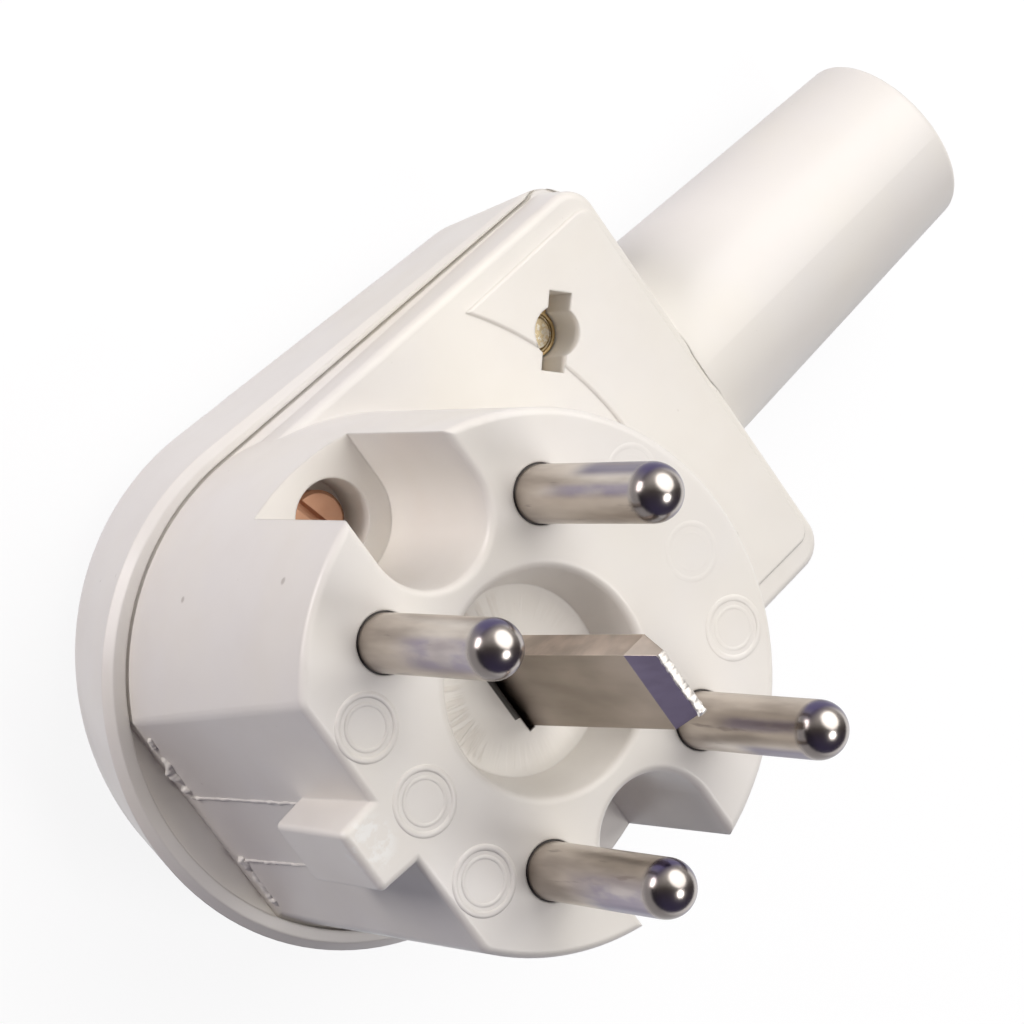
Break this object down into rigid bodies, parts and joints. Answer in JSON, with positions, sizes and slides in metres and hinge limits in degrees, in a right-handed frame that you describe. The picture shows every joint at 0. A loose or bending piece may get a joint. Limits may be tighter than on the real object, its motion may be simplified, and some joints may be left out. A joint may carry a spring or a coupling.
{
  "type": "power plug",
  "caption": "angled mains plug with round pins round a flat earth blade, a keyed round nose with two screw scoops, a plate with keyholes, a domed rear cover and a tapered cable sleeve",
  "frame": {"origin": "on the axis of the round nose, in the plane of the back of the rear cover", "axes": "+Z along the pins from the back to the tips, +X along the cable sleeve, +Y to the side of pins L1 and L2"},
  "size_m": [0.1069, 0.0502, 0.07],
  "materials": {
    "housing": "warm white, glossy moulding",
    "cover": "warm white, glossy moulding",
    "sleeve": "warm white, soft and glossy",
    "inner_plastic": "plain inner moulding",
    "pin_metal": "nickel-plated, polished",
    "blade_metal": "nickel-plated, drawn marks",
    "screw_steel": "plain steel",
    "screw_brass": "coppery, slotted",
    "insert_brass": "turned",
    "clamp_screw_metal": "turned"
  },
  "bodies": {
    "root": {"front_housing": "housing", "rear_cover": "cover", "cable_sleeve": "sleeve", "earth_blade": "blade_metal", "retainer_plate": "inner_plastic", "clamp_bar": "inner_plastic", "pin_l1": "pin_metal", "pin_l2": "pin_metal", "pin_l3": "pin_metal", "pin_n": "pin_metal", "terminal_screw_l1": "screw_steel", "terminal_screw_l2": "screw_steel", "terminal_screw_l3": "screw_steel", "terminal_screw_n": "screw_steel", "terminal_screw_earth": "screw_steel", "cover_screw_upper": "screw_brass", "cover_screw_lower": "screw_brass", "cover_insert_upper": "insert_brass", "cover_insert_lower": "insert_brass", "clamp_nut_upper": "insert_brass", "clamp_nut_lower": "insert_brass", "clamp_screw_upper": "clamp_screw_metal", "clamp_screw_lower": "clamp_screw_metal", "retainer_screw_cable_side": "screw_steel", "retainer_screw_key_side": "screw_steel"}
  },
  "joints": []
}
